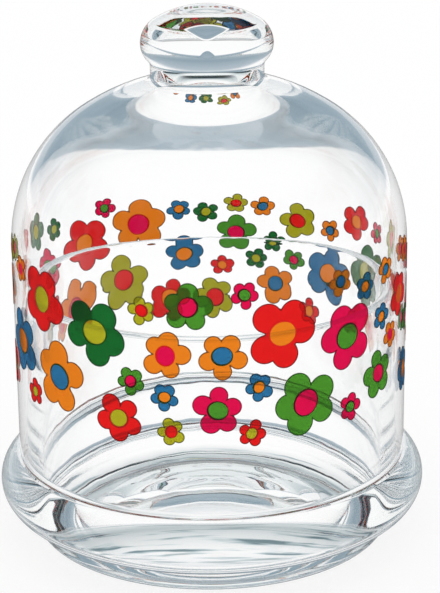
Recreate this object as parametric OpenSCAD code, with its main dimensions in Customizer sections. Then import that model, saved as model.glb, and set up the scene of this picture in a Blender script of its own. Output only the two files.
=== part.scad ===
// Glass storage jar: a pressed glass jar on a wide round-edged foot, under a glass dome with a knob,
// and a band of flowers in fired enamel on the dome. Millimetres, +Z up, origin at the middle of the
// foot, on the table.

/* [Dome] */
// Outer diameter of the dome
dome_d = 120; // [112:1:128]
// Thickness of the dome's wall
dome_wall = 3; // [2.5:0.1:4]
// Radius of the edges of the dome's foot
dome_edge_r = 0.7; // [0.3:0.1:1.1]
// Height above the table at which the straight wall ends
wall_top_z = 93; // [90:1:105]
// Outer radius of the shoulder
shoulder_r = 47; // [42:0.5:50]
// Outer radius of the crown
crown_r = 71; // [68:0.5:80]
// Inner radius of the shoulder
inner_shoulder_r = 38; // [35:0.5:40]
// Inner radius of the crown
inner_crown_r = 82; // [80:1:92]
// Radius of the round end of the hollow in the neck
hollow_end_r = 12; // [8:0.5:13]
// Radius of the flare through which that hollow opens into the crown
flare_r = 32; // [24:1:36]

/* [Knob] */
// Diameter of the neck
neck_d = 34; // [30:0.5:36]
// Height of the neck between its two fillets
neck_h = 2.4; // [1:0.1:6]
// Radius of the fillet between the neck and the crown
neck_fillet_r = 2.5; // [1.5:0.1:5]
// Radius of the fillet between the neck and the knob
lip_fillet_r = 2.4; // [0.8:0.1:2.6]
// Diameter of the knob
knob_d = 39.6; // [38:0.2:46]
// Radius of the knob's underside
lip_r = 6.8; // [6:0.1:8]
// Radius of the knob's upper edge
knob_edge_r = 8; // [6:0.1:10]
// Radius of the knob's top
knob_top_r = 31; // [24:0.5:50]
// Thickness of the glass over the hollow
knob_solid_h = 14; // [13:0.5:17]

/* [Base] */
// How far the round rim stands out beyond the dome
rim_out = 6.1; // [4:0.1:10]
// Radius of the rim's round edge
rim_edge_r = 8.9; // [7:0.1:9.2]
// Height above the table of the flat seat that carries the dome
seat_z = 25.2; // [24:0.2:32]
// How much of the rim's full round the seat cuts away
seat_cut = 0.6; // [0.2:0.1:1]
// Width of the flat under the rim, between its round edge and the fillet of the foot
underside_w = 0.2; // [0:0.1:4]
// Radius of the foot's lower edge
foot_edge_r = 4; // [0.5:0.1:4.5]
// Radius of the fillet between the foot and the rim
foot_fillet_r = 1.2; // [0.5:0.1:2.5]
// Width of the ring that the foot stands on
foot_ring_w = 5.4; // [3:0.1:8]
// Depth of the hollow inside the ring
recess_h = 1.2; // [0.4:0.1:2]
// Width of that hollow, from the ring to the deeper middle
recess_w = 14; // [8:0.5:20]
// How much deeper the middle is
middle_recess_h = 0.6; // [0.2:0.1:1]
// Width of the slope at the edge of each hollow
recess_slope = 1.5; // [0.5:0.1:3]

/* [Jar] */
// Free space between the jar and the dome all round
cover_play = 1.5; // [1.3:0.1:3]
// Height of the jar's rim above the table
jar_h = 80; // [60:1:88]
// Thickness of the jar's wall
jar_wall = 3; // [2:0.1:5]
// Height of the jar's floor above the table
floor_z = 5; // [4:0.1:10]
// Radius of the corner between the jar's floor and wall
floor_corner_r = 8; // [3:0.5:12]
// Radius of the fillet between the jar and the seat
jar_fillet_r = 1.2; // [0.4:0.1:1.2]

/* [Flowers] */
// Large flower, over its petals
large_d = 20.5; // [16:0.5:23]
// How many large flowers are wanted round the wall
large_count = 13; // [4:1:13]
// Middle flower, over its petals
middle_d = 14.5; // [12:0.5:16]
// How many middle flowers are wanted
middle_count = 24; // [8:1:24]
// Small flower, over its petals
small_d = 8.5; // [7:0.5:10]
// How many small flowers are wanted in the gaps that are left
small_count = 38; // [8:1:40]
// Least clear glass between neighbouring flowers
flower_gap = 0.6; // [0.5:0.1:2]
// Height above the table of the printed band's lower edge
band_z = 47; // [40:1:50]
// Height of the printed band
band_h = 51; // [46:1:56]
// Thickness of the fired enamel
enamel_t = 0.15; // [0.1:0.01:0.3]
// Width of the dark ring round each flower's centre
ring_w = 0.4; // [0.2:0.05:0.6]

/* [Hidden] */
$fn = 96;
arc_step = 5;
reach = 1; // how far the flower prisms run past the enamel

dome_r = dome_d / 2;
dome_inner_r = dome_r - dome_wall;
neck_r = neck_d / 2;
knob_r = knob_d / 2;
jar_r = dome_inner_r - cover_play;
jar_inner_r = jar_r - jar_wall;
rim_r = dome_r + rim_out;
rim_z = seat_z + seat_cut - rim_edge_r;
foot_r = rim_r - rim_edge_r - underside_w - foot_fillet_r;
ring_inner_r = foot_r - foot_edge_r - foot_ring_w;
middle_recess_r = ring_inner_r - recess_w;

// Flowers stand where a steady walk round and up the band finds them room, the large ones first
wall_length = 2 * PI * dome_r;
step_round = 0.7548776662; // how far round the wall each step goes, in turns
step_up = 0.5698402910; // how far up the band each step goes, in band heights
first_step = 319;
last_step = 1819;
petals = 5;
petal_out = 0.3; // distance of a petal from the centre, in flower diameters
petal_r = 0.2; // radius of a petal, in flower diameters
heart_r = 0.26; // radius of the disc that joins the petals, in flower diameters
centre_r = 0.18; // radius of the flower's centre, in flower diameters
flower_turn = 47; // degrees from one flower to the next
red = 0;
orange = 1;
lime = 2;
pink = 3;
green = 4;
blue = 5;
forest = 6;
// Inks of the petals and the centre, taken in turn by the flowers
pairs = [[red, orange], [blue, orange], [orange, pink], [forest, lime], [green, pink],
         [lime, red], [red, lime], [pink, green], [orange, blue]];

// Points of an arc about c, from angle a0 to angle a1
function arc(c, r, a0, a1) =
    let (n = max(1, ceil(abs(a1 - a0) / arc_step)))
    [for (i = [0 : n]) let (a = a0 + (a1 - a0) * i / n) c + r * [cos(a), sin(a)]];

function reversed(points) = [for (i = [len(points) - 1 : -1 : 0]) points[i]];

// Height of the centre of a crown arc that runs smoothly out of a shoulder arc on a wall
function crown_z(wall_r, shoulder, crown) =
    wall_top_z - sqrt(pow(crown - shoulder, 2) - pow(wall_r - shoulder, 2));

// Angle at which the shoulder arc becomes the crown arc
function crown_start(wall_r, shoulder, crown) =
    atan2(wall_top_z - crown_z(wall_r, shoulder, crown), wall_r - shoulder);

function shoulder_line(wall_r, shoulder, crown, thicker = 0) =
    arc([wall_r - shoulder, wall_top_z], shoulder + thicker, 0, crown_start(wall_r, shoulder, crown));

function crown_line(wall_r, shoulder, crown, end) =
    arc([0, crown_z(wall_r, shoulder, crown)], crown, crown_start(wall_r, shoulder, crown), end);

// The fillets and round edges of the neck and knob, each tangent to the one before
neck_fillet_c = let (r = neck_r + neck_fillet_r)
    [r, crown_z(dome_r, shoulder_r, crown_r) + sqrt(pow(crown_r + neck_fillet_r, 2) - r * r)];
neck_angle = acos(neck_fillet_c.x / (crown_r + neck_fillet_r));
lip_fillet_c = [neck_r + lip_fillet_r, neck_fillet_c.y + neck_h];
lip_c = let (x = knob_r - lip_r)
    [x, lip_fillet_c.y + sqrt(pow(lip_r + lip_fillet_r, 2) - pow(lip_fillet_c.x - x, 2))];
lip_angle = atan2(lip_fillet_c.y - lip_c.y, lip_fillet_c.x - lip_c.x);
knob_edge_c = [knob_r - knob_edge_r, lip_c.y];
knob_top_c = [0, knob_edge_c.y - sqrt(pow(knob_top_r - knob_edge_r, 2) - pow(knob_edge_c.x, 2))];
knob_angle = atan2(knob_edge_c.y - knob_top_c.y, knob_edge_c.x);

// The flare of the hollow is tangent to the inner crown below it and to the round end above it
hollow_end_z = knob_top_c.y + knob_top_r - knob_solid_h - hollow_end_r;
inner_crown_z = crown_z(dome_inner_r, inner_shoulder_r, inner_crown_r);
flare_c = let (r = inner_crown_r + flare_r, up = hollow_end_z - inner_crown_z,
               z = (r * r - pow(flare_r + hollow_end_r, 2) + up * up) / (2 * up))
    [sqrt(r * r - z * z), inner_crown_z + z];
flare_start = atan2(flare_c.y - inner_crown_z, flare_c.x);
flare_end = atan2(flare_c.y - hollow_end_z, flare_c.x);

module dome_cover() color("azure", 0.4) rotate_extrude() polygon(concat(
    arc([dome_inner_r + dome_edge_r, seat_z + dome_edge_r], dome_edge_r, 180, 270),
    arc([dome_r - dome_edge_r, seat_z + dome_edge_r], dome_edge_r, 270, 360),
    shoulder_line(dome_r, shoulder_r, crown_r),
    crown_line(dome_r, shoulder_r, crown_r, neck_angle),
    arc(neck_fillet_c, neck_fillet_r, neck_angle + 180, 180),
    arc(lip_fillet_c, lip_fillet_r, 180, 180 + lip_angle),
    arc(lip_c, lip_r, lip_angle, 0),
    arc(knob_edge_c, knob_edge_r, 0, knob_angle),
    arc(knob_top_c, knob_top_r, knob_angle, 90),
    reversed(concat(
        shoulder_line(dome_inner_r, inner_shoulder_r, inner_crown_r),
        crown_line(dome_inner_r, inner_shoulder_r, inner_crown_r, flare_start),
        arc(flare_c, flare_r, flare_start + 180, flare_end + 180),
        arc([0, hollow_end_z], hollow_end_r, flare_end, 90)))));

module base_jar() color("azure", 0.4) rotate_extrude() polygon(concat(
    [[0, recess_h + middle_recess_h],
     [middle_recess_r - recess_slope, recess_h + middle_recess_h],
     [middle_recess_r, recess_h],
     [ring_inner_r - recess_slope, recess_h],
     [ring_inner_r, 0]],
    arc([foot_r - foot_edge_r, foot_edge_r], foot_edge_r, -90, 0),
    arc([foot_r + foot_fillet_r, rim_z - rim_edge_r - foot_fillet_r], foot_fillet_r, 180, 90),
    arc([rim_r - rim_edge_r, rim_z], rim_edge_r, -90, asin(1 - seat_cut / rim_edge_r)),
    arc([jar_r + jar_fillet_r, seat_z + jar_fillet_r], jar_fillet_r, 270, 180),
    arc([jar_r - jar_wall / 2, jar_h - jar_wall / 2], jar_wall / 2, 0, 180),
    arc([jar_inner_r - floor_corner_r, floor_z + floor_corner_r], floor_corner_r, 0, -90),
    [[0, floor_z]]));

// A thin skin on the outside of the dome, which the flowers are cut from
module enamel_skin() rotate_extrude() polygon(concat(
    [[dome_r, band_z - reach]],
    shoulder_line(dome_r, shoulder_r, crown_r),
    reversed(shoulder_line(dome_r, shoulder_r, crown_r, enamel_t)),
    [[dome_r + enamel_t, band_z - reach]]));

function part_of_turn(x) = x - floor(x);

// Place round the wall, height and diameter of a flower at one step of the walk
function spot(step, d) =
    [wall_length * part_of_turn(step * step_round),
     band_z + d / 2 + (band_h - d) * part_of_turn(step * step_up), d];

function apart(f, g) = let (round = abs(f[0] - g[0])) norm([min(round, wall_length - round), f[1] - g[1]]);

function has_room(f, placed) =
    len([for (g = placed) if (apart(f, g) < (f[2] + g[2]) / 2 + flower_gap) g]) == 0;

function planted(placed, d, wanted, step = first_step) =
    wanted == 0 || step == last_step ? placed :
    let (f = spot(step, d), free = has_room(f, placed))
    planted(free ? concat(placed, [f]) : placed, d, free ? wanted - 1 : wanted, step + 1);

flowers = planted(planted(planted([], large_d, large_count), middle_d, middle_count), small_d, small_count);

// Puts a flat shape on the dome's wall, as a prism that runs through the enamel
module on_wall(n) rotate(flowers[n][0] / wall_length * 360)
    translate([dome_inner_r, 0, flowers[n][1]])
        rotate([90, 0, 90])
            linear_extrude(dome_wall + enamel_t + reach)
                rotate(flower_turn * n)
                    children();

// The joined petals of a flower, open where its centre and the ring round it lie
module flower_petals(d) difference() {
    union() {
        for (i = [0 : petals - 1])
            rotate(360 / petals * i)
                translate([petal_out * d, 0])
                    circle(petal_r * d);
        circle(heart_r * d);
    }
    circle(centre_r * d + ring_w);
}

module centre_ring(d) difference() {
    circle(centre_r * d + ring_w);
    circle(centre_r * d);
}

// All that one ink prints, in one thin layer
module enamel(ink) intersection() {
    enamel_skin();
    for (n = [0 : len(flowers) - 1]) {
        pair = pairs[n % len(pairs)];
        if (pair[0] == ink) on_wall(n) flower_petals(flowers[n][2]);
        if (pair[1] == ink) on_wall(n) circle(centre_r * flowers[n][2]);
    }
}

// The dark ink, which prints the ring round each centre
module enamel_wine() color("#7a0c1c") intersection() {
    enamel_skin();
    for (n = [0 : len(flowers) - 1]) on_wall(n) centre_ring(flowers[n][2]);
}

module enamel_red() color("#e8231a") enamel(red);
module enamel_orange() color("#f88a18") enamel(orange);
module enamel_lime() color("#b8b020") enamel(lime);
module enamel_pink() color("#e8004f") enamel(pink);
module enamel_green() color("#3f8f2c") enamel(green);
module enamel_blue() color("#2c78a8") enamel(blue);
module enamel_forest() color("#17602a") enamel(forest);

base_jar();
dome_cover();
enamel_red();
enamel_orange();
enamel_lime();
enamel_pink();
enamel_green();
enamel_blue();
enamel_forest();
enamel_wine();
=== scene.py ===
from math import acos, asin, atan2, ceil, cos, degrees, dist, hypot, pi, radians, sin, sqrt

import bpy
from mathutils import Matrix, Vector, noise


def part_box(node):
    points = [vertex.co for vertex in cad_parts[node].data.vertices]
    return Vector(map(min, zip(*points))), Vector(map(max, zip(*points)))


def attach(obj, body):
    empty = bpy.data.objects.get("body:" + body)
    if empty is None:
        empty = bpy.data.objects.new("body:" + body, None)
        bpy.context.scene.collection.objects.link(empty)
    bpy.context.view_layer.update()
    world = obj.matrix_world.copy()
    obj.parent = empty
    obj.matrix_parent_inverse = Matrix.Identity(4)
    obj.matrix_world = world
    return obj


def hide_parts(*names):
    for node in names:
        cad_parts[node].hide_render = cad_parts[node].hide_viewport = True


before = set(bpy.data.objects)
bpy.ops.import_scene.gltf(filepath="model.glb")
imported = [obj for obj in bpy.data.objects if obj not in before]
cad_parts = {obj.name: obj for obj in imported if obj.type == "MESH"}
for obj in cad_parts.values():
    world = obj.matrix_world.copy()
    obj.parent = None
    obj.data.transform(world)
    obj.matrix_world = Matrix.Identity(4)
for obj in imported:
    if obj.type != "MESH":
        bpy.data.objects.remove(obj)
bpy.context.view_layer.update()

# Sizes are in millimetres, and MM turns them to metres
MM = 0.001

# The dome. Its width and seat, and the base's width and height, come from the frame's boxes
dome_low, dome_high = (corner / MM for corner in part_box("dome_cover"))
DOME_R = round(dome_high.x, 2)
SEAT_Z = dome_low.z
DOME_WALL = 3
DOME_EDGE_R = 0.7
WALL_TOP_Z = 93
SHOULDER_R = 47
CROWN_R = 71
INNER_SHOULDER_R = 38
INNER_CROWN_R = 82
HOLLOW_END_R = 12
FLARE_R = 32
DOME_INNER_R = DOME_R - DOME_WALL

# The knob and its neck
NECK_R = 17
NECK_H = 2.4
NECK_FILLET_R = 2.5
LIP_FILLET_R = 2.4
KNOB_R = 19.8
LIP_R = 6.8
KNOB_EDGE_R = 8
KNOB_TOP_R = 31
KNOB_SOLID_H = 14

# The base, with the jar that stands up inside the dome
base_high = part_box("base_jar")[1] / MM
RIM_R = base_high.x
JAR_H = base_high.z
RIM_EDGE_R = 8.9
SEAT_CUT = 0.6
UNDERSIDE_W = 0.2
FOOT_EDGE_R = 4
FOOT_FILLET_R = 1.2
FOOT_RING_W = 5.4
RECESS_H = 1.2
RECESS_W = 14
MIDDLE_RECESS_H = 0.6
RECESS_SLOPE = 1.5
COVER_PLAY = 1.5
JAR_WALL = 3
FLOOR_Z = 5
FLOOR_CORNER_R = 8
JAR_FILLET_R = 1.2
RIM_Z = SEAT_Z + SEAT_CUT - RIM_EDGE_R
FOOT_R = RIM_R - RIM_EDGE_R - UNDERSIDE_W - FOOT_FILLET_R
RING_INNER_R = FOOT_R - FOOT_EDGE_R - FOOT_RING_W
MIDDLE_RECESS_R = RING_INNER_R - RECESS_W
JAR_R = DOME_INNER_R - COVER_PLAY
JAR_INNER_R = JAR_R - JAR_WALL

# Fineness of the turned glass: degrees between the points of its wide arcs, of its small fillets and of the
# dome's foot, the steps round it, the angle of a sharp edge, and the distance within which points are one
ARC_STEP = 3
FILLET_STEP = 10
DOME_EDGE_STEP = 15
TURN_STEPS = 288
SHARP_EDGE = 25
ONE_POINT = 0.001
# Ripples in the pressed rim: their length round it, their width across it, their depth, and the distance that
# they keep from the seat and the table
RIPPLE_LENGTH = 90
RIPPLE_WIDTH = 7
RIPPLE_DEPTH = 0.04
RIPPLE_MARGIN = 0.5
# The film of air between glass that stands on glass or on the table
AIR_GAP = 0.03

# The flowers stand where a steady walk round and up the printed band finds them room, the large ones first:
# diameter over the petals, and how many are wanted. A step goes a share of the way round and of the band's
# height
FLOWERS = {20.5: 13, 14.5: 24, 8.5: 38}
FLOWER_GAP = 0.6
BAND_Z = 47
BAND_H = 51
WALL_LENGTH = 2 * pi * DOME_R
STEP_ROUND = 0.7548776662
STEP_UP = 0.5698402910
WALK = range(319, 1819)
# Thickness of the enamel, width of the ring round a flower's centre and of the line round its petals
ENAMEL_T = 0.15
RING_W = 0.4
OUTLINE_W = 0.28
# A flower's shape, in shares of its diameter: how far out its petals' middles lie, and the radius of a petal,
# of the heart that joins them and of the centre
PETALS = 5
PETAL_OUT = 0.3
PETAL_R = 0.2
HEART_R = 0.26
CENTRE_R = 0.18
# Degrees from one flower's turn to the next one's, and the points along a flower's edge
FLOWER_TURN = 47
FLOWER_STEPS = 100
# How uneven the hand-cut print is: degrees that a petal strays, shares by which it is shorter or slimmer, and
# shares by which the centre is longer one way and the ring wider on one side
PETAL_STRAY = 8
PETAL_SHORTER = 0.1
PETAL_SLIMMER = 0.08
CENTRE_LONGER = 0.05
RING_WIDER = 0.4
# The inks, the share of light that they stop where they lie thin and thick, the grey that thick ink lays over
# its colour, how much brighter and whiter the streaks of thin ink are, and the width of a streak
INKS = {"red": "#f01818", "orange": "#f88a18", "lime": "#b8b420", "pink": "#ea0050",
        "green": "#4f9a2c", "blue": "#2c78a8", "forest": "#17702e"}
THIN_COVER = 0.25
THICK_COVER = 0.5
THICK_GREY = "#909090"
STREAK_BRIGHTER = 1.25
STREAK_WHITER = 0.01
STREAK_W = 2.5
# Inks of the petals and the centre, taken in turn by the flowers
PAIRS = [("red", "orange"), ("blue", "orange"), ("orange", "pink"), ("forest", "lime"), ("green", "pink"),
         ("lime", "red"), ("red", "lime"), ("pink", "green"), ("orange", "blue")]

# The photograph's camera: its place, the degrees that it is tipped down and rolled, its lens and its film
CAMERA_PLACE = (3.1, -625.3, 281.4)
CAMERA_TIP = 18.39
CAMERA_ROLL = -0.6
CAMERA_LENS = 175.4
FILM_WIDTH = 36
NEAREST_SEEN = 10

# The room that the glass shows: its colour by the height of the way to it, as a sine, and the table's painted
# shade by the distance from the middle of the jar, with a dark ring of painted contact shadow where the foot
# stands
ROOM_BY_HEIGHT = {0.0: "#ffffff", 0.11: "#ffffff", 0.14: "#b0bec8", 0.28: "#8ea2ae", 0.46: "#96a9b4",
                  0.51: "#14282e", 0.61: "#1c3036", 0.68: "#b8c4c8", 0.82: "#f4f8f8"}
TABLE_SHADE_BY_DISTANCE = {0: "#ffffff", 36: "#ffffff", 46: "#dce5e7", 48: "#5a7078", 53: "#1a3038", 56: "#ffffff"}
TABLE_HALF = 3000
# How much of the table's white the camera sees without shade, and the share of its brightness taken away as
# painted shade where glass mirrors the table
TABLE_GLOW = 0.85
PAINTED_MIRROR_SHADE = 0.7
# Uneven rings of light and shade, painted on the table where the jar would throw them: the distance from the
# middle at which they start and are full, their width, how often they break round the jar, and their tones
GLINT_START = 20
GLINT_FULL = 34
GLINT_WIDTH = 1.7
GLINT_TURNS = 1.8
GLINTS = {0.34: "#7f959b", 0.42: "#c9d6da", 0.47: "#f0f5f6", 0.52: "#ffffff"}
# How often light may turn in glass, many times inside the thick rim, and pass through ink
GLASS_BOUNCES = 64
INK_BOUNCES = 16


def linear(hex_colour):
    """An sRGB hex colour as linear red, green, blue and alpha."""
    parts = [int(hex_colour[i:i + 2], 16) / 255 for i in (1, 3, 5)]
    return [c / 12.92 if c <= 0.04045 else ((c + 0.055) / 1.055) ** 2.4 for c in parts] + [1]


def add_node(tree, kind, settings=None, **links):
    """Adds a node to tree. A number or colour in links sets an input, and a socket is joined to it."""
    made = tree.nodes.new(kind)
    for name, value in (settings or {}).items():
        setattr(made, name, value)
    for name, value in links.items():
        socket = made.inputs[int(name[1:])] if name[1:].isdigit() else made.inputs[name.replace("_", " ")]
        if isinstance(value, bpy.types.NodeSocket):
            tree.links.new(value, socket)
        else:
            socket.default_value = value
    return made


def new_material(name):
    """A material without nodes, and its node tree."""
    made = bpy.data.materials.new(name)
    made.use_nodes = True
    made.node_tree.nodes.clear()
    return made, made.node_tree


def pressed_soda_glass(name, wave, depth):
    """Clear soda-lime glass, pressed and fire-polished: no grain, a faint grey-green cast where it is thick,
    and slow waves in its skin, wave mm long and depth mm deep, that bend the lines seen through it. Its face
    mirrors little, so that what stands behind it stays vivid."""
    made, tree = new_material(name)
    place = add_node(tree, "ShaderNodeTexCoord").outputs["Object"]
    waves = add_node(tree, "ShaderNodeTexNoise", Vector=place, Scale=1 / (wave * MM), Detail=2.0)
    bump = add_node(tree, "ShaderNodeBump", Height=waves.outputs[0], Strength=0.4, Distance=depth * MM)
    glass = add_node(tree, "ShaderNodeBsdfPrincipled", Base_Color=linear("#ffffff"), Roughness=0.0, IOR=1.52,
                     Transmission_Weight=1.0, Specular_Tint=linear("#626262"), Normal=bump.outputs[0])
    cast = add_node(tree, "ShaderNodeVolumeAbsorption", Color=linear("#9cc0c0"), Density=0.7)
    add_node(tree, "ShaderNodeOutputMaterial", Surface=glass.outputs[0], Volume=cast.outputs[0])
    return made


def fired_enamel(name, colour, cover):
    """Transparent glass enamel, screen printed and fired: satin gloss, streaks of thicker and thinner ink,
    and light from behind shows through it. cover is the share of light that its pigment stops."""
    made, tree = new_material(name)
    place = add_node(tree, "ShaderNodeTexCoord").outputs["Object"]
    streaks = add_node(tree, "ShaderNodeTexNoise",
                       Vector=place, Scale=1 / (STREAK_W * MM), Detail=4.0, Roughness=0.6)
    thin = [min(1, STREAK_BRIGHTER * c + STREAK_WHITER) for c in colour[:3]] + [1]
    tone = add_node(tree, "ShaderNodeMix", {"data_type": "RGBA"}, _0=streaks.outputs[0], _6=colour, _7=thin)
    ink = add_node(tree, "ShaderNodeBsdfPrincipled", Base_Color=tone.outputs[2], Roughness=0.3, IOR=1.5)
    tint = [sqrt(c) for c in colour]
    behind = add_node(tree, "ShaderNodeBsdfTransparent", Color=tint)
    both = add_node(tree, "ShaderNodeMixShader", Fac=cover, _1=behind.outputs[0], _2=ink.outputs[0])
    add_node(tree, "ShaderNodeOutputMaterial", Surface=both.outputs[0])
    return made


def arc(centre, r, start, end, step=ARC_STEP):
    """Points of an arc in the jar's outline, from one angle to another."""
    n = max(1, ceil(abs(end - start) / step))
    turns = [radians(start + (end - start) * i / n) for i in range(n + 1)]
    return [(centre[0] + r * cos(a), centre[1] + r * sin(a)) for a in turns]


def crown_z(wall_r, shoulder, crown):
    """Height of the centre of a crown arc that runs smoothly out of a shoulder arc on a wall."""
    return WALL_TOP_Z - sqrt((crown - shoulder) ** 2 - (wall_r - shoulder) ** 2)


def crown_start(wall_r, shoulder, crown):
    """The angle at which a shoulder arc runs into its crown arc."""
    return degrees(atan2(WALL_TOP_Z - crown_z(wall_r, shoulder, crown), wall_r - shoulder))


def shoulder_and_crown(wall_r, shoulder, crown, end):
    """The dome's outline from the top of its wall to an angle on the crown."""
    start = crown_start(wall_r, shoulder, crown)
    return (arc((wall_r - shoulder, WALL_TOP_Z), shoulder, 0, start)
            + arc((0, crown_z(wall_r, shoulder, crown)), crown, start, end))


def knob_outline():
    """The angle at which the crown meets the neck, and the neck and knob from there to the axis, each arc
    tangent to the one before."""
    low = crown_z(DOME_R, SHOULDER_R, CROWN_R)
    neck_x, neck_reach = NECK_R + NECK_FILLET_R, CROWN_R + NECK_FILLET_R
    neck = (neck_x, low + sqrt(neck_reach ** 2 - neck_x ** 2))
    neck_angle = degrees(acos(neck_x / neck_reach))
    fillet = (NECK_R + LIP_FILLET_R, neck[1] + NECK_H)
    lip_x = KNOB_R - LIP_R
    lip = (lip_x, fillet[1] + sqrt((LIP_R + LIP_FILLET_R) ** 2 - (fillet[0] - lip_x) ** 2))
    lip_angle = degrees(atan2(fillet[1] - lip[1], fillet[0] - lip[0]))
    edge = (KNOB_R - KNOB_EDGE_R, lip[1])
    top = (0, edge[1] - sqrt((KNOB_TOP_R - KNOB_EDGE_R) ** 2 - edge[0] ** 2))
    edge_angle = degrees(atan2(edge[1] - top[1], edge[0]))
    return neck_angle, (arc(neck, NECK_FILLET_R, neck_angle + 180, 180)
                        + arc(fillet, LIP_FILLET_R, 180, 180 + lip_angle)
                        + arc(lip, LIP_R, lip_angle, 0) + arc(edge, KNOB_EDGE_R, 0, edge_angle)
                        + arc(top, KNOB_TOP_R, edge_angle, 90))


def hollow_outline(knob_top_z):
    """The angle at which the inner crown ends, and the bell-shaped hollow of the neck from there to the
    axis."""
    crown = crown_z(DOME_INNER_R, INNER_SHOULDER_R, INNER_CROWN_R)
    end_z = knob_top_z - KNOB_SOLID_H - HOLLOW_END_R
    reach, up = INNER_CROWN_R + FLARE_R, end_z - crown
    rise = (reach ** 2 - (FLARE_R + HOLLOW_END_R) ** 2 + up ** 2) / (2 * up)
    flare = (sqrt(reach ** 2 - rise ** 2), crown + rise)
    first, last = degrees(atan2(rise, flare[0])), degrees(atan2(flare[1] - end_z, flare[0]))
    return first, arc(flare, FLARE_R, first + 180, last + 180) + arc((0, end_z), HOLLOW_END_R, last, 90)


def dome_outline():
    """The whole dome: up the outside from its foot to the top of the knob, and down the inside."""
    neck_angle, knob = knob_outline()
    hollow_angle, hollow = hollow_outline(knob[-1][1])
    foot_z = SEAT_Z + AIR_GAP + DOME_EDGE_R
    outside = (arc((DOME_INNER_R + DOME_EDGE_R, foot_z), DOME_EDGE_R, 180, 270, DOME_EDGE_STEP)
               + arc((DOME_R - DOME_EDGE_R, foot_z), DOME_EDGE_R, 270, 360, DOME_EDGE_STEP)
               + shoulder_and_crown(DOME_R, SHOULDER_R, CROWN_R, neck_angle) + knob)
    inside = shoulder_and_crown(DOME_INNER_R, INNER_SHOULDER_R, INNER_CROWN_R, hollow_angle) + hollow
    return outside + inside[::-1]


def base_outline():
    """The whole base: out along the stepped underside, up the foot and rim, in over the seat, up the jar's
    wall and down its inside to the middle of its floor."""
    return ([(0, RECESS_H + MIDDLE_RECESS_H), (MIDDLE_RECESS_R - RECESS_SLOPE, RECESS_H + MIDDLE_RECESS_H),
             (MIDDLE_RECESS_R, RECESS_H), (RING_INNER_R - RECESS_SLOPE, RECESS_H), (RING_INNER_R, 0)]
            + arc((FOOT_R - FOOT_EDGE_R, FOOT_EDGE_R), FOOT_EDGE_R, -90, 0, FILLET_STEP)
            + arc((FOOT_R + FOOT_FILLET_R, RIM_Z - RIM_EDGE_R - FOOT_FILLET_R), FOOT_FILLET_R,
                  180, 90, FILLET_STEP)
            + arc((RIM_R - RIM_EDGE_R, RIM_Z), RIM_EDGE_R, -90, degrees(asin(1 - SEAT_CUT / RIM_EDGE_R)))
            + arc((JAR_R + JAR_FILLET_R, SEAT_Z + JAR_FILLET_R), JAR_FILLET_R, 270, 180, FILLET_STEP)
            + arc((JAR_R - JAR_WALL / 2, JAR_H - JAR_WALL / 2), JAR_WALL / 2, 0, 180, FILLET_STEP)
            + arc((JAR_INNER_R - FLOOR_CORNER_R, FLOOR_Z + FLOOR_CORNER_R), FLOOR_CORNER_R, 0, -90)
            + [(0, FLOOR_Z)])


def without_doubles(points):
    """The outline without the second of two points that fall together, where one arc runs into the next."""
    kept = []
    for point in points:
        if not kept or dist(point, kept[-1]) > ONE_POINT:
            kept.append(point)
    return kept


def make_piece(name, vertices, faces, material, body, slot, *nodes):
    """A mesh piece in metres, with smooth faces and sharp edges where they meet at an angle."""
    mesh = bpy.data.meshes.new(name)
    mesh.from_pydata([Vector(v) * MM for v in vertices], [], faces)
    mesh.materials.append(material)
    mesh.shade_smooth()
    mesh.set_sharp_from_angle(angle=radians(SHARP_EDGE))
    made = bpy.data.objects.new(name, mesh)
    bpy.context.scene.collection.objects.link(made)
    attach(made, body)
    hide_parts(*nodes)
    return made


def lathe(name, outline, material, body, node, skin_waves=None):
    """A turned piece: the outline of its section, anticlockwise, turned about the axis. skin_waves gives how
    far the skin stands out at a point, from its radius, height, turn and way along the outline."""
    outline = without_doubles(outline)
    vertices, rings, faces = [], [], []
    along = 0
    for n, (r, z) in enumerate(outline):
        steps = 1 if r < ONE_POINT else TURN_STEPS
        rings.append(range(len(vertices), len(vertices) + steps))
        before, after = outline[n - 1], outline[(n + 1) % len(outline)]
        way = Vector((after[0] - before[0], after[1] - before[1])).normalized()
        along += dist((r, z), before) if n else 0
        for i in range(steps):
            a = 2 * pi * i / TURN_STEPS
            out = skin_waves(r, z, a, along) if skin_waves else 0
            wide = r + out * way.y
            vertices.append((wide * cos(a), wide * sin(a), z - out * way.x))
    for here, there in zip(rings, rings[1:] + rings[:1]):
        for i in range(TURN_STEPS if len(here) + len(there) > 2 else 0):
            j = (i + 1) % TURN_STEPS
            if len(here) == 1:
                faces.append((here[0], there[j], there[i]))
            elif len(there) == 1:
                faces.append((here[i], here[j], there[0]))
            else:
                faces.append((here[i], here[j], there[j], there[i]))
    return make_piece(name, vertices, faces, material, body, "clear_glass", node)


def rim_waves(r, z, turn, along):
    """Long ripples that the press leaves round the rim and foot, but not on the seat, jar or underside."""
    start = DOME_R + RIPPLE_MARGIN if z > RIM_Z else FOOT_R - FOOT_EDGE_R
    if r < start or z < RIPPLE_MARGIN:
        return 0
    around = Vector((cos(turn), sin(turn), 0)) * RIM_R / RIPPLE_LENGTH
    return RIPPLE_DEPTH * noise.noise(around + Vector((0, 0, along / RIPPLE_WIDTH)))


def dome_radius(z):
    """Outer radius of the dome at a height in the printed band."""
    if z <= WALL_TOP_Z:
        return DOME_R
    return DOME_R - SHOULDER_R + sqrt(SHOULDER_R ** 2 - (z - WALL_TOP_Z) ** 2)


def chance(*numbers):
    """A steady number from 0 to 1 for each set of numbers."""
    return noise.cell(Vector((*numbers, 0, 0)[:3]))


def room_between(flower, other):
    """The gap between the rims of two flowers, each a place round the wall, a height and a diameter."""
    round_wall = abs(flower[0] - other[0])
    between = hypot(min(round_wall, WALL_LENGTH - round_wall), flower[1] - other[1])
    return between - (flower[2] + other[2]) / 2


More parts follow.
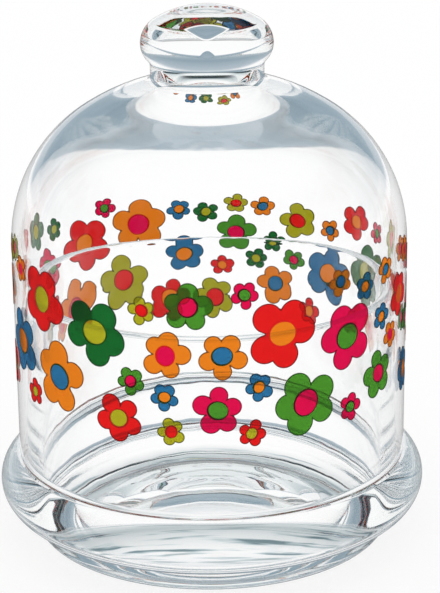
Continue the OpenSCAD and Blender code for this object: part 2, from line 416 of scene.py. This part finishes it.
def plant_flowers():
    """Place round the wall, height and diameter of each flower, found as the CAD model finds them."""
    placed = []
    for d, wanted in FLOWERS.items():
        for step in WALK:
            x = WALL_LENGTH * (step * STEP_ROUND % 1)
            z = BAND_Z + d / 2 + (BAND_H - d) * (step * STEP_UP % 1)
            if wanted and all(room_between((x, z, d), other) >= FLOWER_GAP for other in placed):
                placed.append((x, z, d))
                wanted -= 1
    return placed


class Flower:
    """A flower with hand-cut edges: each petal is a little shorter or slimmer than the full round, and the
    centre is not quite round and sits not quite true in the ring round it."""

    def __init__(self, number, x, z, d):
        self.x, self.z, self.d = x, z, d
        self.turn = radians(FLOWER_TURN * number)
        self.petals = [(360 / PETALS * i + PETAL_STRAY * (chance(number, i, 1) - 0.5),
                        PETAL_OUT * d * (1 - PETAL_SHORTER * chance(number, i, 2)),
                        PETAL_R * d * (1 - PETAL_SLIMMER * chance(number, i, 3))) for i in range(PETALS)]
        self.long_way = 360 * chance(number, 7, 4)

    def place(self, x, y, out):
        """Puts a flat point of the flower on the wall, out from its glass."""
        z = self.z + x * sin(self.turn) + y * cos(self.turn)
        across = x * cos(self.turn) - y * sin(self.turn)
        r = dome_radius(z)
        a = self.x / DOME_R + asin(across / r)
        return ((r + out) * cos(a), (r + out) * sin(a), z)

    def petal_edge(self, turn, line=0):
        """Distance from the middle to the edge of the petals, less a line's width, in a direction."""
        edge = HEART_R * self.d - line
        for petal_turn, out, r in self.petals:
            across = radians((turn - petal_turn + 180) % 360 - 180)
            chord = (r - line) ** 2 - (out * sin(across)) ** 2
            if chord > 0 and cos(across) > 0:
                edge = max(edge, out * cos(across) + sqrt(chord))
        return edge

    def petal_fill(self, turn):
        """Distance to the edge of the thin ink, which ends where the line round the petals starts."""
        return self.petal_edge(turn, OUTLINE_W)

    def centre_edge(self, turn):
        return CENTRE_R * self.d * (1 + CENTRE_LONGER * cos(radians(2 * (turn - self.long_way))))

    def ring_edge(self, turn):
        return self.centre_edge(turn) + RING_W * (1 + RING_WIDER * cos(radians(turn + self.long_way)))


class Print:
    """One ink's thin layer: faces on the outside of the dome, gathered flower by flower."""

    def __init__(self, enamel):
        self.enamel = enamel
        self.vertices = []
        self.faces = []

    def patch(self, flower, inner, outer, rings):
        """A closed film between two edges of a flower, each a function of direction, in rings of faces."""
        rows = []
        for side in (ENAMEL_T, -AIR_GAP):
            for k in (range(rings + 1) if side > 0 else range(rings, -1, -1)):
                rows.append(len(self.vertices))
                for i in range(FLOWER_STEPS):
                    turn = 360 * i / FLOWER_STEPS
                    r = inner(turn) + (outer(turn) - inner(turn)) * k / rings
                    self.vertices.append(flower.place(r * cos(radians(turn)), r * sin(radians(turn)), side))
        for here, there in zip(rows, rows[1:] + rows[:1]):
            for i in range(FLOWER_STEPS):
                j = (i + 1) % FLOWER_STEPS
                self.faces.append((here + i, there + i, there + j, here + j))


def middle(turn):
    """The inner edge of a patch that has no hole: nearly a point, in every direction."""
    return ONE_POINT


def print_flowers():
    """Petals and centres in the inks, a thick edge of the same ink round the petals, and a dark ring where
    the inks of the petals and the centre lie over each other."""
    fills = {ink: Print(fired_enamel(ink + "_enamel", linear(colour), THIN_COVER))
             for ink, colour in INKS.items()}
    edges = {ink: Print(fired_enamel(ink + "_enamel_edge", shade(colour, THICK_GREY), THICK_COVER))
             for ink, colour in INKS.items()}
    rings = {pair: Print(fired_enamel("_over_".join(pair), shade(*map(INKS.get, pair)), THICK_COVER))
             for pair in PAIRS}
    for number, spot in enumerate(plant_flowers()):
        flower = Flower(number, *spot)
        petals, centre = PAIRS[number % len(PAIRS)]
        fills[centre].patch(flower, middle, flower.centre_edge, rings=2)
        rings[petals, centre].patch(flower, flower.centre_edge, flower.ring_edge, rings=1)
        fills[petals].patch(flower, flower.ring_edge, flower.petal_fill, rings=4)
        edges[petals].patch(flower, flower.petal_fill, flower.petal_edge, rings=1)
    for ink in INKS:
        finish_print(ink + "_print", fills[ink], "enamel_" + ink)
        finish_print(ink + "_edges", edges[ink], "enamel_" + ink)
    for pair in PAIRS:
        finish_print("_".join(pair) + "_rings", rings[pair], "enamel_wine")


def finish_print(name, layer, node):
    """Makes one piece of all that a layer has gathered."""
    make_piece(name, layer.vertices, layer.faces, layer.enamel, "cover", node, node)


def shade(upper, under):
    """The colour of one ink over another, as light sees it through both."""
    return [a * b for a, b in zip(linear(upper), linear(under))]


def set_camera():
    """The photograph's camera: a long lens, higher than the jar and tipped down on it."""
    camera = bpy.data.cameras.new("camera")
    camera.sensor_fit = "HORIZONTAL"
    camera.sensor_width = FILM_WIDTH
    camera.lens = CAMERA_LENS
    camera.clip_start = NEAREST_SEEN * MM
    made = bpy.data.objects.new("camera", camera)
    made.location = [length * MM for length in CAMERA_PLACE]
    tipped = Matrix.Rotation(radians(90 - CAMERA_TIP), 3, "X")
    rolled = Matrix.Rotation(radians(CAMERA_ROLL), 3, "Z")
    made.rotation_euler = (tipped @ rolled).to_euler()
    bpy.context.scene.collection.objects.link(made)
    bpy.context.scene.camera = made


def set_ramp(node, stops):
    """Gives a colour ramp its stops, a hex colour for each place from 0 to 1."""
    ramp = node.color_ramp
    while len(ramp.elements) < len(stops):
        ramp.elements.new(0.5)
    for element, (place, colour) in zip(ramp.elements, stops.items()):
        element.position = place
        element.color = linear(colour)


def set_room():
    """A white room: matt surfaces get plain light from all round and the camera sees white. Glass mirrors and
    bends its tones by height: white at eye height, blue-grey over that, a dark zone, and a pale ceiling."""
    world = bpy.data.worlds.new("white_room")
    bpy.context.scene.world = world
    world.use_nodes = True
    tree = world.node_tree
    tree.nodes.clear()
    way = add_node(tree, "ShaderNodeTexCoord").outputs["Generated"]
    height = add_node(tree, "ShaderNodeSeparateXYZ", Vector=way).outputs["Z"]
    tone = add_node(tree, "ShaderNodeValToRGB", Fac=height)
    set_ramp(tone, ROOM_BY_HEIGHT)
    ray = add_node(tree, "ShaderNodeLightPath")
    bounced = add_node(tree, "ShaderNodeMath", {"operation": "GREATER_THAN"},
                       _0=ray.outputs["Diffuse Depth"], _1=0.5)
    plain = add_node(tree, "ShaderNodeMath", {"operation": "MAXIMUM"},
                     _0=ray.outputs["Is Camera Ray"], _1=bounced.outputs[0])
    seen = add_node(tree, "ShaderNodeMix", {"data_type": "RGBA"},
                    _0=plain.outputs[0], _6=tone.outputs[0], _7=linear("#ffffff"))
    light = add_node(tree, "ShaderNodeBackground", Color=seen.outputs[2], Strength=1.0)
    add_node(tree, "ShaderNodeOutputWorld", Surface=light.outputs[0])


def painted_table_shade(tree):
    """The table's colour as glass shows it: white, with painted shade and uneven painted rings of light and
    shade under the jar.
    """
    place = add_node(tree, "ShaderNodeTexCoord").outputs["Object"]
    far = add_node(tree, "ShaderNodeVectorMath", {"operation": "LENGTH"}, _0=place).outputs["Value"]
    reach = add_node(tree, "ShaderNodeMath", {"operation": "DIVIDE"}, _0=far, _1=TABLE_HALF * MM)
    # Painted shade under the jar: a dark ring of painted contact shadow where the foot stands
    tone = add_node(tree, "ShaderNodeValToRGB", Fac=reach.outputs[0])
    set_ramp(tone, {r / TABLE_HALF: colour for r, colour in TABLE_SHADE_BY_DISTANCE.items()})
    around = add_node(tree, "ShaderNodeVectorMath", {"operation": "NORMALIZE"}, _0=place)
    ring = add_node(tree, "ShaderNodeMath", {"operation": "DIVIDE"}, _0=far, _1=GLINT_WIDTH * MM)
    out = add_node(tree, "ShaderNodeCombineXYZ", Z=ring.outputs[0])
    spot = add_node(tree, "ShaderNodeVectorMath", {"operation": "MULTIPLY_ADD"},
                    _0=around.outputs[0], _1=(GLINT_TURNS, GLINT_TURNS, 0), _2=out.outputs[0])
    # Painted rings of light and shade under the jar, standing in for caustics
    rings = add_node(tree, "ShaderNodeTexNoise", Vector=spot.outputs[0], Scale=1.0, Detail=2.0)
    glints = add_node(tree, "ShaderNodeValToRGB", Fac=rings.outputs[0])
    set_ramp(glints, GLINTS)
    grown = add_node(tree, "ShaderNodeMapRange", Value=far, _1=GLINT_START * MM, _2=GLINT_FULL * MM)
    under = add_node(tree, "ShaderNodeMath", {"operation": "LESS_THAN"}, _0=far, _1=FOOT_R * MM)
    thrown = add_node(tree, "ShaderNodeMath", {"operation": "MULTIPLY"},
                      _0=grown.outputs[0], _1=under.outputs[0])
    toned = add_node(tree, "ShaderNodeMix", {"data_type": "RGBA", "blend_type": "MULTIPLY"},
                     _0=thrown.outputs[0], _6=tone.outputs[0], _7=glints.outputs[0])
    return toned.outputs[2]


def white_table():
    """A white matt table that keeps a faint shadow. Glass shows it as evenly lit as the room behind it, but
    for the painted shade and painted rings of light and shade under the jar, and mirrors it darker, in
    painted shade."""
    made, tree = new_material("white_table")
    matt = add_node(tree, "ShaderNodeBsdfDiffuse", Color=linear("#ffffff"))
    ray = add_node(tree, "ShaderNodeLightPath").outputs
    mirrored = add_node(tree, "ShaderNodeMath", {"operation": "SUBTRACT", "use_clamp": True},
                        _0=ray["Is Glossy Ray"], _1=ray["Is Transmission Ray"])
    # Painted shade: the table is made darker where glass mirrors it
    glow = add_node(tree, "ShaderNodeMath", {"operation": "MULTIPLY_ADD"},
                    _0=mirrored.outputs[0], _1=-PAINTED_MIRROR_SHADE, _2=1.0)
    seen = add_node(tree, "ShaderNodeMix", {"data_type": "RGBA"},
                    _0=ray["Is Camera Ray"], _6=painted_table_shade(tree), _7=linear("#ffffff"))
    lit = add_node(tree, "ShaderNodeEmission", Color=seen.outputs[2], Strength=glow.outputs[0])
    by_camera = add_node(tree, "ShaderNodeMath", {"operation": "MULTIPLY"},
                         _0=ray["Is Camera Ray"], _1=TABLE_GLOW)
    by_glass = add_node(tree, "ShaderNodeMath", {"operation": "MAXIMUM"},
                        _0=ray["Is Glossy Ray"], _1=ray["Is Transmission Ray"])
    share = add_node(tree, "ShaderNodeMath", {"operation": "MAXIMUM"},
                     _0=by_camera.outputs[0], _1=by_glass.outputs[0])
    both = add_node(tree, "ShaderNodeMixShader", Fac=share.outputs[0], _1=matt.outputs[0], _2=lit.outputs[0])
    add_node(tree, "ShaderNodeOutputMaterial", Surface=both.outputs[0])
    return made


def lay_table():
    """A wide flat table, a film of air under the jar's foot."""
    half, z = TABLE_HALF * MM, -AIR_GAP * MM
    corners = [(-half, -half, z), (half, -half, z), (half, half, z), (-half, half, z)]
    mesh = bpy.data.meshes.new("table")
    mesh.from_pydata(corners, [], [(0, 1, 2, 3)])
    mesh.materials.append(white_table())
    table = bpy.data.objects.new("table", mesh)
    bpy.context.scene.collection.objects.link(table)


scene = bpy.context.scene
scene.view_settings.view_transform = "Standard"
scene.cycles.max_bounces = GLASS_BOUNCES
scene.cycles.transmission_bounces = GLASS_BOUNCES
scene.cycles.glossy_bounces = GLASS_BOUNCES
scene.cycles.transparent_max_bounces = INK_BOUNCES
set_camera()
set_room()
lay_table()
jar_glass = pressed_soda_glass("pressed_jar_glass", wave=20, depth=0.12)
dome_glass = pressed_soda_glass("pressed_dome_glass", wave=12, depth=0.08)
lathe("jar_glass", base_outline(), jar_glass, "base", "base_jar", rim_waves)
lathe("dome_glass", dome_outline(), dome_glass, "cover", "dome_cover")
print_flowers()
